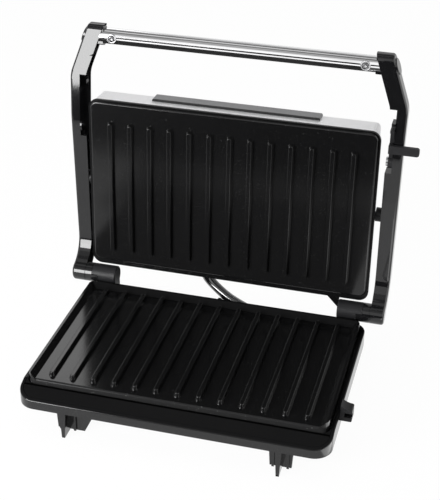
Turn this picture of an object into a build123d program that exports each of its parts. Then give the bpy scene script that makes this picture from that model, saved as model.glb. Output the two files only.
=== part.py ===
from build123d import *
import os
from math import acos, atan2, cos, degrees, radians, sin, sqrt, tan

# Panini press: a base with a ribbed plate, a floating lid on two arms, and a lock lever.
# Millimetres, +Z up, +Y to the back. The origin is on the table, under the centre of the base.
# The press stands open, with its arms upright and its lid leaning back a little.

# Cooking plates
plate_width = 230.0
lower_plate_depth = 140.0
upper_plate_depth = 141.5
plate_corner = 6.0
plate_wall = 2.8
plate_floor = 2.6
plate_draft = 3.0
plate_edge = 2.2
lip_height = 4.2
lip_top = 2.4
lip_angle = 44.0
front_edge_radius = 1.6
rib_count = 13
rib_side_margin = 17.2
rib_width = 5.2
rib_height = 3.4
rib_draft = 16.0
rib_round = 0.6
lower_rib_front_margin = 6.4
lower_rib_back_margin = 7.4
upper_rib_bottom_margin = 10.2
upper_rib_top_margin = 15.8

# Base
foot_height = 18.0
base_height = 18.3
base_wall = 2.5
base_floor = 2.5
side_rim = 4.0
front_corner = 14.0
back_corner = 12.0
underside_rise = 4.5
underside_run = 8.0
rim_round = 1.2
apron_run = 15.4
apron_drop = 6.3
apron_slope = 18.1
frame_skin = 2.6
frame_drop = 0.2
plate_gap = 0.8
plate_sink = 3.3
ledge_width = 5.0
ledge_height = 2.2
rib_top_rise = 5.6
fit_gap = 0.3

# Legs
foot_spacing = 164.0
foot_fin_inset = 0.8
foot_fin_length = 22.0
foot_fin_tip = 2.4
foot_fin_root = 4.8
foot_web_width = 19.0
foot_web_foot_width = 16.4
foot_web_lift = 0.6
foot_wing_width = 18.3
foot_wing_foot_width = 13.0
foot_wing_rise = 11.0
foot_web_setback = 11.0
foot_web = 2.4
foot_side_rib = 5.6
foot_side_rib_depth = 1.6
foot_side_rib_width = 1.8

# Hinge
barrel_radius = 8.0
barrel_rise = 0.5
hinge_setback = 3.2
pin_radius = 2.5
running_gap = 0.05
seat_gap = 0.02
bracket_length = 15.3
stop_length = 5.2
sleeve_length = 6.4
stop_edge = 162.0
stop_arc = 180.0
stop_play = 2.0
swing = 90.0
pin_cover = 2.4
bracket_drop = 22.8
bracket_thickness = 8.0

# Arms
arm_gap = 2.0
arm_reach = 12.3
arm_depth = 12.6
arm_foot_width = 10.8
arm_head_width = 13.2
neck_radius = 22.4
lean_angle = 6.5
lean_below_lid_top = 16.8
bend_angle = 19.8
bend_above_lid_top = 17.8
heel_radius = 3.0
bend_radius = 26.0
lean_radius = 60.0
head_above_lid_top = 57.9
head_radius = 5.0
arm_edge_radius = 2.2
seam = 0.5
pocket_below_lid_top = 33.4
pocket_depth = 5.0
pocket_back_wall = 2.0
boss_radius = 5.8
boss_hole = 4.6
boss_height = 1.2
ridge_above_lid_top = 6.6
ridge_thickness = 2.0
ridge_height = 2.8

# Handle
handle_above_lid_top = 48.8
tube_radius = 6.2
tube_wall = 1.2
tube_seat = 4.5
collar_radius = 7.6
collar_length = 2.8
collar_depth = 9.6
plug_stand_out = 0.8
plug_round = 0.6
spigot_length = 22.0
screw_from_end = 7.6
screw_head_radius = 2.5
screw_head = 1.3
screw_shank_radius = 1.4
screw_length = 6.0

# Lid
lid_lean = 1.91
press_gap = 4.1
lid_clearance = 4.0
pivot_below_middle = 2.1
bezel_beside = 1.9
bezel_above = 0.9
bezel_below = 4.4
bezel_thickness = 2.2
bezel_flange = 7.0
cover_side_inset = 3.0
cover_end_inset = 0.4
cover_depth = 21.4
cover_draft = 1.5
cover_wall = 1.0
cover_corner = 4.5
cover_round = 2.4
trim_width = 135.0
trim_thickness = 1.7
trim_setback = 9.0
trim_back_run = 20.0
trim_round = 1.2
lamp_radius = 3.0
lamp_spacing = 30.0
lamp_height = 1.2
lamp_seat = 1.2
lamp_round = 0.9
lamp_drop = 11.0
bush_length = 4.6
bush_radius = 5.6
lid_pin_radius = 2.5
lid_pin_in_arm = 7.0
pivot_block = 12.0
pivot_block_length = 10.0
lug_width = 13.0
lug_height = 13.6
lug_thickness = 2.6

# Lock lever and its catch
lever_below_lid_top = 25.4
lever_forward = 1.1
lever_thickness = 3.0
hub_radius = 5.0
bar_width = 5.0
hook_reach = 28.5
hook_nose = 3.5
hook_thickness = 2.6
tab_rise = 10.4
tab_height = 6.6
tab_clear = 1.0
tab_thickness = 3.0
tab_stand_out = 12.0
tab_round = 2.0
lever_pin_radius = 2.0
lever_pin_head_radius = 3.6
lever_pin_head = 1.4
lever_pin_in_arm = 4.6
catch_gap = 0.6
catch_length = 9.0
catch_width = 8.7
catch_below_slot = 3.4
catch_above_slot = 3.0
catch_hollow = 3.0
catch_round = 1.2

# Inside: heaters, reflectors, thermostat and terminals
heater_radius = 3.2
heater_bend = 16.0
heater_side_margin = 24.0
heater_end_margin = 22.0
heater_tail_gap = 28.0
reflector_thickness = 0.8
reflector_gap = 1.2
reflector_margin = 16.0
reflector_corner = 8.0
thermostat_radius = 8.0
thermostat_height = 9.0
terminal_width = 34.0
terminal_depth = 12.0
terminal_height = 6.0
terminal_back = 32.0
upper_post_x = 60.0
upper_post_y = 30.0
post_radius = 3.6
post_depth_spacing = 100.0
screw_pad_radius = 3.0
screw_pad = 1.4

# Leads: the gland of the mains cord, and the sleeved lead from the base to the lid
gland_x = -62.0
gland_radius = 5.5
gland_stand_out = 5.0
gland_bore = 3.6
gland_depth = 4.0
cord_radius = 3.0
gland_height = 30.4
cable_radius = 4.2
cable_route = [
    (-22.0, 14.8, 10.6),
    (-20.8, 14.8, 3.8),
    (-14.8, 13.6, -2.4),
    (-4.4, 9.8, -8.6),
    (5.6, 6.2, -12.4),
    (16.0, 4.0, -15.4),
]
lid_gland_radius = 6.4
lid_gland_drop = 3.0
lid_gland_rise = 6.0
saddle_left = 24.0
saddle_right = 10.0
saddle_depth = 11.0
saddle_drop = 11.0
saddle_left_drop = 3.4
saddle_lip = 2.4
vent_count = 9
vent_pitch = 14.0
vent_length = 36.0
vent_width = 3.2

# Places worked out from the sizes above
base_width = plate_width + 2 * side_rim
base_depth = lower_plate_depth + apron_run + plate_gap + barrel_radius - hinge_setback
base_front = -base_depth / 2
base_back = base_depth / 2
base_bottom = foot_height
base_rim = base_bottom + base_height
apron_z = base_rim - apron_drop
apron_end = base_front + apron_drop / tan(radians(apron_slope))
hinge_y = base_back + hinge_setback
hinge_z = base_rim + barrel_rise + barrel_radius

plate_back = hinge_y - barrel_radius - plate_gap
plate_mid = plate_back - lower_plate_depth / 2
plate_seat = base_rim - plate_sink
rib_top = base_rim + rib_top_rise
pan_floor = rib_top - rib_height
pan_underside = pan_floor - plate_floor
rib_pitch = (plate_width - 2 * rib_side_margin) / (rib_count - 1)
lower_rib_length = lower_plate_depth - lower_rib_front_margin - lower_rib_back_margin
lower_rib_mid = plate_back - lower_rib_back_margin - lower_rib_length / 2
upper_rib_length = upper_plate_depth - upper_rib_bottom_margin - upper_rib_top_margin
upper_rib_shift = (upper_rib_bottom_margin - upper_rib_top_margin) / 2
ledge_bottom = plate_seat - ledge_height

arm_inner = base_width / 2 + arm_gap
sleeve_inner = arm_inner - sleeve_length
stop_inner = sleeve_inner - stop_length
bracket_inner = stop_inner - bracket_length
arm_front = hinge_y + arm_reach
arm_back = arm_front + arm_depth
arm_mid = arm_front + arm_depth / 2
neck_y = arm_front - neck_radius
neck_rise = sqrt((neck_radius + barrel_radius) ** 2 - (neck_radius - arm_reach) ** 2)
neck_z = hinge_z + neck_rise
lid_bottom = hinge_z + barrel_radius + lid_clearance
lid_top = lid_bottom + upper_plate_depth
lean_z = lid_top - lean_below_lid_top
bend_z = lid_top + bend_above_lid_top
head_z = lid_top + head_above_lid_top
handle_z = lid_top + handle_above_lid_top
handle_y = arm_mid + (handle_z - lean_z) * tan(radians(lean_angle))
head_inner = arm_inner - (handle_z - bend_z) * tan(radians(bend_angle))
head_outer = head_inner + arm_head_width
tube_end = head_inner + tube_seat
collar_end = head_inner - collar_length

pivot_y = arm_mid
pivot_z = (lid_bottom + lid_top) / 2 - pivot_below_middle
pivot_height_closed = hinge_z + pivot_y - hinge_y
lid_offset = pivot_height_closed - rib_top - press_gap
lid_normal = (0, -cos(radians(lid_lean)), sin(radians(lid_lean)))
lid_up = (0, sin(radians(lid_lean)), cos(radians(lid_lean)))
lid_face = Plane(
    origin=(
        0,
        pivot_y + lid_offset * lid_normal[1] + pivot_below_middle * lid_up[1],
        pivot_z + lid_offset * lid_normal[2] + pivot_below_middle * lid_up[2],
    ),
    x_dir=(1, 0, 0),
    z_dir=lid_normal,
)
lid_axis = Axis(lid_face.origin, lid_face.z_dir)
upper_floor = -rib_height
upper_edge_back = upper_floor - plate_edge
upper_post_end = upper_edge_back - 2 * heater_radius - reflector_gap
terminal_y = base_back - terminal_back
bezel_back = upper_edge_back - bezel_thickness
cover_back = bezel_back - cover_depth
bezel_width = plate_width + 2 * bezel_beside
bezel_height = upper_plate_depth + bezel_above + bezel_below
bezel_shift = (bezel_above - bezel_below) / 2
cover_width = bezel_width - 2 * cover_side_inset
cover_height = upper_plate_depth + 2 * bezel_above - 2 * cover_end_inset
bush_inner = arm_inner - bush_length

lever_y = arm_mid - lever_forward
lever_z = lid_top - lever_below_lid_top
pocket_bottom = lid_top - pocket_below_lid_top
pocket_floor = arm_inner + pocket_depth
lever_inner = pocket_floor - lever_thickness - fit_gap
lever_outer = pocket_floor - fit_gap
catch_y = hinge_y - (lever_z - hinge_z)
catch_pivot_z = hinge_z + lever_y - hinge_y
catch_front = catch_y + bar_width / 2 + catch_gap
slot_bottom = catch_pivot_z - hook_reach - catch_gap
slot_top = catch_pivot_z - hook_reach + hook_thickness + catch_gap

side = Plane(origin=(0, 0, 0), x_dir=(0, 1, 0), z_dir=(1, 0, 0))


def hinge_plane(x):
    """Side view centred on the hinge axis, at x."""
    return Plane(origin=(x, hinge_y, hinge_z), x_dir=(0, 1, 0), z_dir=(1, 0, 0))


def cross_plane(x, y, z):
    """Side view centred on another cross axis, at x."""
    return Plane(origin=(x, y, z), x_dir=(0, 1, 0), z_dir=(1, 0, 0))


def sector(radius, start, arc):
    """Pie piece about the origin of a side view, angles from +Y towards +Z."""
    with BuildSketch() as pie:
        with BuildLine():
            rim = CenterArc((0, 0), radius, start, arc)
            Line((0, 0), rim @ 0)
            Line(rim @ 1, (0, 0))
        make_face()
    return pie.sketch


def base_outline(inset):
    """Plan of the base, drawn in by inset."""
    with BuildSketch() as outline:
        Rectangle(base_width - 2 * inset, base_depth - 2 * inset)
        fillet(outline.vertices().group_by(Axis.Y)[0], front_corner - inset)
        fillet(outline.vertices().group_by(Axis.Y)[-1], back_corner - inset)
    return outline.sketch


def above_base(drop):
    """Side view of the space above the apron and the rim, lowered by drop."""
    margin = 20.0
    with BuildSketch(side) as space:
        with BuildLine():
            Polyline(
                (base_front - margin, apron_z - margin * tan(radians(apron_slope)) - drop),
                (apron_end, base_rim - drop),
                (base_back + margin, base_rim - drop),
                (base_back + margin, base_rim + margin),
                (base_front - margin, base_rim + margin),
                close=True,
            )
        make_face()
    return space.sketch


# Base: the closed outer shape, which the legs are cut to
with BuildPart() as base_shape:
    with BuildSketch(Plane.XY.offset(base_bottom)):
        add(base_outline(0))
    extrude(amount=base_height)
    underside = base_shape.faces().sort_by(Axis.Z)[0]
    chamfer(underside.edges(), underside_run, underside_rise, reference=underside)
    extrude(above_base(0), amount=base_width, both=True, mode=Mode.SUBTRACT)

post_x = plate_width / 2 - ledge_width / 2
post_y = post_depth_spacing / 2
post_places = [(x, y) for x in (-post_x, post_x) for y in (-post_y, post_y)]
reflector_z = pan_underside - 2 * heater_radius - reflector_gap - reflector_thickness
reflector_width = plate_width - 2 * plate_wall - 2 * reflector_margin
reflector_depth = lower_plate_depth - 2 * plate_wall - 2 * reflector_margin
reflector_post_x = reflector_width / 2 - reflector_corner
reflector_post_y = reflector_depth / 2 - reflector_corner

with BuildPart() as rim_core:
    with BuildSketch():
        add(base_outline(0.4 * base_wall))
    extrude(amount=2 * base_rim)

with BuildPart() as base_housing:
    add(base_shape.part)
    offset(amount=-base_wall, openings=base_housing.faces().filter_by(lambda f: f.normal_at().Z > 0.5))
    with BuildSketch(Plane.XY.offset(base_bottom + base_floor)):
        with Locations(*post_places):
            Circle(post_radius)
    extrude(amount=ledge_bottom - base_bottom - base_floor)
    with BuildSketch(Plane.XY.offset(base_bottom + base_floor)):
        with Locations((0, plate_mid)):
            with GridLocations(2 * reflector_post_x, 2 * reflector_post_y, 2, 2):
                Circle(post_radius)
    extrude(amount=reflector_z - base_bottom - base_floor)
    with BuildSketch(Plane.XY.offset(base_bottom)):
        with GridLocations(vent_pitch, 1, vent_count, 1):
            SlotOverall(vent_length, vent_width, rotation=90)
    extrude(amount=base_floor, mode=Mode.SUBTRACT)
    with BuildSketch(Plane.XY.offset(base_bottom)):
        with Locations((0, plate_mid)):
            with GridLocations(2 * reflector_post_x, 2 * reflector_post_y, 2, 2):
                Circle(screw_pad_radius + fit_gap)
    extrude(amount=screw_pad, mode=Mode.SUBTRACT)
    with BuildSketch(Plane.XY.offset(base_bottom)):
        with Locations((0, plate_mid)):
            with GridLocations(2 * reflector_post_x, 2 * reflector_post_y, 2, 2):
                Circle(screw_shank_radius + seat_gap)
    extrude(amount=screw_length, mode=Mode.SUBTRACT)
    with BuildSketch(Plane.XZ.offset(-base_back)):
        with Locations((gland_x, gland_height)):
            Circle(gland_bore)
    extrude(amount=base_wall, mode=Mode.SUBTRACT)
    rim_faces = base_housing.faces().filter_by(lambda f: f.normal_at().Z > 0.9)
    rim_edges = rim_faces.edges().filter_by(lambda e: e.center().Z > ledge_bottom)
    fillet(rim_edges.filter_by(lambda e: not rim_core.part.is_inside(e @ 0.5)), rim_round)

# Top frame: sloped apron, rim, and the ledge that the lower plate stands on
opening_width = plate_width + 2 * plate_gap
opening_depth = lower_plate_depth + 2 * plate_gap
with BuildPart() as base_frame:
    with BuildSketch(side):
        with BuildLine():
            slope_skin = frame_skin / cos(radians(apron_slope))
            Polyline(
                (base_front, apron_z),
                (apron_end, base_rim),
                (base_back, base_rim),
                (base_back, base_rim - frame_skin),
                (apron_end, base_rim - frame_skin),
                (base_front, apron_z - slope_skin),
                close=True,
            )
        make_face()
    extrude(amount=base_width, both=True)
    with BuildSketch(Plane.XY):
        add(base_outline(base_wall + fit_gap))
    extrude(amount=base_rim, mode=Mode.INTERSECT)
    with BuildSketch(Plane.XY.offset(ledge_bottom)):
        with Locations((0, plate_mid)):
            RectangleRounded(opening_width, opening_depth, plate_corner + plate_gap)
    extrude(amount=ledge_height)
    extrude(above_base(frame_drop), amount=base_width, both=True, mode=Mode.SUBTRACT)
    with BuildSketch(Plane.XY.offset(plate_seat)):
        with Locations((0, plate_mid)):
            RectangleRounded(opening_width, opening_depth, plate_corner + plate_gap)
    extrude(amount=plate_sink, mode=Mode.SUBTRACT)
    with BuildSketch(Plane.XY):
        with Locations((0, plate_mid)):
            RectangleRounded(plate_width - 2 * ledge_width, lower_plate_depth - 2 * ledge_width, plate_corner)
    extrude(amount=base_rim, mode=Mode.SUBTRACT)

# Lower plate: a pan with three sloped lips, an open front edge, and ribs that run to the back lip
pan_width = plate_width - 2 * lip_top
pan_margin = 12.0
with BuildPart() as lower_plate:
    with BuildSketch(Plane.XY.offset(plate_seat)):
        with Locations((0, plate_mid)):
            RectangleRounded(plate_width, lower_plate_depth, plate_corner)
    extrude(amount=pan_floor + lip_height - plate_seat, taper=plate_draft)
    with BuildSketch(Plane.XY.offset(pan_floor + lip_height)):
        with Locations((0, plate_mid - lip_top / 2 - pan_margin / 2)):
            Rectangle(pan_width, lower_plate_depth - lip_top + pan_margin)
    extrude(amount=-lip_height, taper=lip_angle, mode=Mode.SUBTRACT)
    with BuildSketch(Plane.XY.offset(plate_seat)):
        with Locations((0, plate_mid)):
            RectangleRounded(
                plate_width - 2 * plate_wall, lower_plate_depth - 2 * plate_wall, plate_corner - plate_wall
            )
    extrude(amount=pan_underside - plate_seat, mode=Mode.SUBTRACT)
    with BuildSketch(Plane.XY.offset(pan_floor)):
        with Locations((0, lower_rib_mid)):
            with GridLocations(rib_pitch, 1, rib_count, 1):
                SlotOverall(lower_rib_length, rib_width, rotation=90)
    extrude(amount=rib_height, taper=rib_draft)
    rib_tops = lower_plate.faces().filter_by_position(Axis.Z, rib_top - rib_round, rib_top + rib_round)
    fillet(rib_tops.filter_by(Plane.XY).edges(), rib_round)
    front_edges = lower_plate.edges().filter_by(Axis.X).group_by(Axis.Y)[:2]
    front_top = ShapeList(sum(front_edges, [])).sort_by(Axis.Z)[-1]
    fillet(front_top, front_edge_radius)

# Legs: a fin that tapers to its tip, crossed by a web with two small ribs


def foot(x, facing, winged=False):
    """Leg at x; facing is -1 at the front and +1 at the back, with the fin towards the outside."""
    outside = Plane(
        origin=(x, facing * (base_back - foot_fin_inset), 0), x_dir=(facing, 0, 0), z_dir=(0, -facing, 0)
    )
    reach = base_bottom + underside_rise
    with BuildPart() as leg:
        with BuildSketch(outside):
            with BuildLine():
                Polyline(
                    (-foot_fin_tip / 2, 0),
                    (foot_fin_tip / 2, 0),
                    (foot_fin_root / 2, reach),
                    (-foot_fin_root / 2, reach),
                    close=True,
                )
            make_face()
        extrude(amount=foot_fin_length)
        with BuildSketch(outside.offset(foot_web_setback)):
            with BuildLine():
                Polyline(
                    (-foot_web_foot_width / 2, foot_web_lift),
                    (foot_web_foot_width / 2, foot_web_lift),
                    (foot_web_width / 2, reach),
                    (-foot_web_width / 2, reach),
                    close=True,
                )
            make_face()
        extrude(amount=foot_web)
        if winged:
            with BuildSketch(outside.offset(foot_web_setback)):
                with BuildLine():
                    Polyline(
                        (0, foot_web_lift),
                        (-foot_wing_foot_width, foot_web_lift),
                        (-foot_wing_width, foot_web_lift + foot_wing_rise),
                        (-foot_wing_width, reach),
                        (0, reach),
                        close=True,
                    )
                make_face()
            extrude(amount=foot_web)
        with BuildSketch(outside.offset(foot_web_setback - foot_side_rib_depth)):
            with Locations((-foot_side_rib, foot_web_lift), (foot_side_rib, foot_web_lift)):
                Rectangle(foot_side_rib_width, reach - foot_web_lift, align=(Align.CENTER, Align.MIN))
        extrude(amount=foot_side_rib_depth)
        add(base_shape.part, mode=Mode.SUBTRACT)
    return leg.part


feet = {
    "foot_front_left": foot(-foot_spacing / 2, -1, winged=True),
    "foot_front_right": foot(foot_spacing / 2, -1),
    "foot_rear_left": foot(-foot_spacing / 2, 1),
    "foot_rear_right": foot(foot_spacing / 2, 1),
}

# Hinge: barrels on the base with the fixed half of the stepped stop, and their pins
with BuildPart() as hinge_bracket_right:
    with BuildSketch(hinge_plane(bracket_inner)):
        Circle(barrel_radius)
    extrude(amount=bracket_length)
    chamfer(hinge_bracket_right.faces().sort_by(Axis.X)[0].edges(), 0.8)
    with BuildSketch(hinge_plane(stop_inner)):
        add(sector(barrel_radius, stop_edge - stop_arc, stop_arc))
    extrude(amount=stop_length)
    with BuildSketch(side.offset(bracket_inner)):
        with BuildLine():
            Polyline(
                (base_back, hinge_z - bracket_drop),
                (base_back, hinge_z),
                (base_back + bracket_thickness, hinge_z),
                (base_back + bracket_thickness, hinge_z - bracket_drop / 2),
                (base_back + bracket_thickness / 2, hinge_z - bracket_drop),
                close=True,
            )
        make_face()
    extrude(amount=bracket_length)
    with BuildSketch(hinge_plane(bracket_inner + pin_cover)):
        Circle(pin_radius + seat_gap)
    extrude(amount=bracket_length + stop_length - pin_cover, mode=Mode.SUBTRACT)

with BuildPart() as hinge_pin_right:
    with BuildSketch(hinge_plane(bracket_inner + pin_cover)):
        Circle(pin_radius)
    extrude(amount=arm_inner + lid_pin_in_arm - bracket_inner - pin_cover)

# Arms: the side view crossed with the front view, then the hinge sleeve, stop tooth, pocket and head


def arm_blank():
    """Right arm, without what differs between the two arms."""
    lean = radians(lean_angle)
    bend = radians(bend_angle)
    head_shift = (head_z - lean_z) * tan(lean)
    arm_outer = arm_inner + arm_foot_width
    wide_outer = arm_inner + arm_head_width
    reach = arm_head_width * 2
    span = neck_radius + barrel_radius
    back_radius = neck_radius + arm_depth
    neck_angle = degrees(atan2(-neck_rise, neck_radius - arm_reach))
    along = (back_radius**2 - barrel_radius**2 + span**2) / (2 * span)
    back_angle = neck_angle + degrees(acos(along / back_radius))
    with BuildPart() as arm:
        with BuildSketch(side.offset(arm_inner - reach)) as profile:
            with BuildLine():
                front = CenterArc((neck_y, neck_z), neck_radius, neck_angle, -neck_angle)
                rise = Line(front @ 1, (arm_front, lean_z))
                top_front = Line(rise @ 1, (arm_front + head_shift, head_z))
                top = Line(top_front @ 1, (arm_back + head_shift, head_z))
                top_back = Line(top @ 1, (arm_back, lean_z))
                Line(top_back @ 1, (arm_back, neck_z))
                back = CenterArc((neck_y, neck_z), back_radius, back_angle, -back_angle)
                heel = back @ 0
                heel_angle = degrees(atan2(heel.Y - hinge_z, heel.X - hinge_y))
                CenterArc((hinge_y, hinge_z), barrel_radius, neck_angle + 180, heel_angle + 180 - neck_angle)
            make_face()
            fillet(profile.vertices().sort_by_distance(heel)[0], heel_radius)
            fillet(profile.vertices().sort_by(Axis.Y)[-2:], head_radius)
            fillet(profile.vertices().filter_by_position(Axis.Y, lean_z - 1, lean_z + 1), lean_radius)
        extrude(amount=2 * reach)
        with BuildSketch(Plane.XZ) as front_view:
            with BuildLine():
                Polyline(
                    (arm_inner, 0),
                    (arm_outer, 0),
                    (wide_outer, bend_z),
                    (wide_outer - (head_z - bend_z) * tan(bend), head_z),
                    (arm_inner - (head_z - bend_z) * tan(bend), head_z),
                    (arm_inner, bend_z),
                    close=True,
                )
            make_face()
            fillet(front_view.vertices().filter_by_position(Axis.Y, bend_z - 1, bend_z + 1), bend_radius)
        extrude(amount=-2 * arm_back, mode=Mode.INTERSECT)
        middle = arm_inner + arm_head_width / 2
        slope = tan(bend)
        sloped = middle + bend_z * slope
        outside = arm.edges().filter_by(lambda e: e.center().X > min(middle, sloped - e.center().Z * slope))
        seams = outside.filter_by(Axis.Y).filter_by_position(Axis.Z, 0, head_z - 1)
        fillet([edge for edge in outside if edge not in seams], arm_edge_radius)
        with BuildSketch(hinge_plane(sleeve_inner + fit_gap)):
            Circle(barrel_radius)
        extrude(amount=sleeve_length - fit_gap)
        with BuildSketch(hinge_plane(stop_inner + fit_gap)):
            add(sector(barrel_radius, stop_edge + stop_play, stop_arc - swing - 2 * stop_play))
        extrude(amount=stop_length)
        with BuildSketch(hinge_plane(arm_inner - seam)):
            Circle(barrel_radius)
            Circle(barrel_radius - seam, mode=Mode.SUBTRACT)
        extrude(amount=seam, mode=Mode.SUBTRACT)
        with BuildSketch(hinge_plane(stop_inner)):
            Circle(pin_radius + running_gap)
        extrude(amount=arm_inner + lid_pin_in_arm + fit_gap - stop_inner, mode=Mode.SUBTRACT)
        with BuildSketch(cross_plane(arm_inner, pivot_y, pivot_z)):
            Circle(lid_pin_radius + running_gap)
        extrude(amount=lid_pin_in_arm + fit_gap, mode=Mode.SUBTRACT)
        with BuildSketch(cross_plane(collar_end, handle_y, handle_z)):
            Circle(collar_radius)
            Rectangle(collar_depth, 3 * collar_radius, rotation=-lean_angle, mode=Mode.INTERSECT)
        extrude(amount=collar_length + arm_head_width / 2)
        with BuildSketch(cross_plane(collar_end, handle_y, handle_z)):
            Circle(tube_radius + seat_gap)
        extrude(amount=arm_head_width * 2, mode=Mode.SUBTRACT)
        pocket_back = arm_back - pocket_back_wall
        with BuildSketch(side.offset(arm_inner - reach)):
            with BuildLine():
                Polyline(
                    (0, pocket_bottom),
                    (pocket_back, pocket_bottom),
                    (pocket_back, bend_z),
                    (0, bend_z),
                    close=True,
                )
            make_face()
        extrude(amount=reach + pocket_depth, mode=Mode.SUBTRACT)
        ridge_z = lid_top + ridge_above_lid_top
        with BuildSketch(side.offset(pocket_floor - ridge_height)):
            with Locations((arm_mid, ridge_z)):
                Rectangle(arm_depth - pocket_back_wall, ridge_thickness)
        extrude(amount=ridge_height)
    return arm.part


with BuildPart() as arm_right:
    add(arm_blank())
    with BuildSketch(cross_plane(pocket_floor, lever_y, lever_z)):
        Circle(lever_pin_radius + seat_gap)
    extrude(amount=lever_pin_in_arm, mode=Mode.SUBTRACT)
    with BuildSketch(side.offset(arm_inner - pocket_depth)):
        with Locations((arm_back - pocket_back_wall + arm_depth / 2, (pocket_bottom + bend_z) / 2)):
            Rectangle(arm_depth, bend_z - pocket_bottom)
    extrude(amount=2 * pocket_depth, mode=Mode.SUBTRACT)

with BuildPart() as arm_left:
    add(arm_blank())
    with BuildSketch(cross_plane(pocket_floor - boss_height, lever_y, lever_z)):
        Circle(boss_radius)
        Circle(boss_hole, mode=Mode.SUBTRACT)
    extrude(amount=boss_height)
    mirror(arm_left.part, about=Plane.YZ, mode=Mode.REPLACE)

# Handle: chrome tube seated in the arm heads, plugged at both ends and held by two screws
with BuildPart() as handle_tube:
    with BuildSketch(cross_plane(-tube_end, handle_y, handle_z)):
        Circle(tube_radius)
        Circle(tube_radius - tube_wall, mode=Mode.SUBTRACT)
    extrude(amount=2 * tube_end)
    screw_x = collar_end - screw_from_end
    with BuildSketch(Plane.XZ.offset(-handle_y)):
        with Locations((-screw_x, handle_z), (screw_x, handle_z)):
            Circle(screw_shank_radius + seat_gap)
    extrude(amount=tube_radius, mode=Mode.SUBTRACT)

plug_face = Plane(
    origin=(head_outer + plug_stand_out, handle_y, handle_z),
    z_dir=(cos(radians(bend_angle)), 0, sin(radians(bend_angle))),
)
with BuildPart() as handle_plug_right:
    with BuildSketch(cross_plane(tube_end - spigot_length, handle_y, handle_z)):
        Circle(tube_radius - tube_wall - seat_gap)
    extrude(amount=spigot_length)
    with BuildSketch(cross_plane(tube_end, handle_y, handle_z)):
        Circle(tube_radius)
    extrude(amount=arm_head_width + tube_radius)
    split(bisect_by=plug_face, keep=Keep.BOTTOM)
    fillet(handle_plug_right.faces().sort_by(Axis.X)[-1].edges(), plug_round)
    with BuildSketch(Plane.XZ.offset(-handle_y)):
        with Locations((screw_x, handle_z)):
            Circle(screw_shank_radius + seat_gap)
    extrude(amount=tube_radius, mode=Mode.SUBTRACT)

with BuildPart() as handle_screws:
    with BuildSketch(Plane.XZ.offset(tube_radius - handle_y)):
        with Locations((-screw_x, handle_z), (screw_x, handle_z)):
            Circle(screw_head_radius)
    extrude(amount=screw_head)
    with BuildSketch(Plane.XZ.offset(tube_radius - handle_y)):
        with Locations((-screw_x, handle_z), (screw_x, handle_z)):
            Circle(screw_shank_radius)
    extrude(amount=-screw_length)

# Lid: ribbed plate, bezel, drawn cover, front trim with two lamps, and pivot pins
with BuildPart() as upper_plate:
    with BuildSketch(lid_face.offset(upper_edge_back)):
        RectangleRounded(plate_width, upper_plate_depth, plate_corner)
    extrude(amount=plate_edge)
    fillet(upper_plate.faces().sort_by(lid_axis)[-1].edges(), front_edge_radius)
    with BuildSketch(lid_face.offset(bezel_back)):
        RectangleRounded(
            plate_width - 2 * bezel_flange - 2 * fit_gap,
            upper_plate_depth - 2 * bezel_flange - 2 * fit_gap,
            plate_corner,
        )
        RectangleRounded(
            plate_width - 2 * bezel_flange - 2 * plate_wall,
            upper_plate_depth - 2 * bezel_flange - 2 * plate_wall,
            plate_corner - plate_wall + fit_gap,
            mode=Mode.SUBTRACT,
        )
    extrude(amount=bezel_thickness)
    with BuildSketch(lid_face.offset(upper_floor)):
        with Locations((0, upper_rib_shift)):
            with GridLocations(rib_pitch, 1, rib_count, 1):
                SlotOverall(upper_rib_length, rib_width, rotation=90)
    extrude(amount=rib_height, taper=rib_draft)
    fillet(upper_plate.faces().sort_by(lid_axis)[-rib_count:].edges(), rib_round)
    with BuildSketch(lid_face.offset(upper_edge_back)):
        with GridLocations(2 * upper_post_x, 2 * upper_post_y, 2, 2):
            Circle(post_radius)
    extrude(amount=upper_post_end - upper_edge_back)

pivot_local = -pivot_below_middle
cover_lean = cover_depth * tan(radians(cover_draft))
block_x = cover_width / 2 - cover_wall - cover_lean - pivot_block_length / 2 - fit_gap
lug_x = bracket_inner - 2 * fit_gap
lug_top = bezel_shift - bezel_height / 2 + bezel_thickness
block_depth = lid_offset + bezel_back + pivot_block / 2
with BuildPart() as lid_frame:
    with BuildSketch(lid_face.offset(bezel_back)):
        with Locations((0, bezel_shift)):
            RectangleRounded(bezel_width, bezel_height, plate_corner + bezel_beside)
        RectangleRounded(
            plate_width - 2 * bezel_flange,
            upper_plate_depth - 2 * bezel_flange,
            plate_corner,
            mode=Mode.SUBTRACT,
        )
    extrude(amount=bezel_thickness)
    with BuildSketch(lid_face.offset(bezel_back)):
        with Locations((-block_x, pivot_local), (block_x, pivot_local)):
            Rectangle(pivot_block_length, pivot_block)
    extrude(amount=-block_depth)
    with BuildSketch(cross_plane(-plate_width / 2, pivot_y, pivot_z)):
        Circle(lid_pin_radius + seat_gap)
    extrude(amount=plate_width, mode=Mode.SUBTRACT)

with BuildPart() as lid_lug:
    with BuildSketch(lid_face.offset(bezel_back)):
        with BuildLine():
            Polyline(
                (lug_x - lug_width, lug_top),
                (lug_x, lug_top),
                (lug_x, lug_top - lug_height),
                close=True,
            )
        make_face()
    extrude(amount=-lug_thickness)


def cover_shape(inset):
    """Drafted tray of the cover, drawn in by inset on its sides and its back."""
    with BuildPart() as tray:
        with BuildSketch(lid_face.offset(bezel_back)):
            RectangleRounded(cover_width - 2 * inset, cover_height - 2 * inset, cover_corner - inset)
        extrude(amount=inset - cover_depth, taper=cover_draft)
        fillet(tray.faces().sort_by(lid_axis)[0].edges(), cover_round - inset)
    return tray.part


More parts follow.
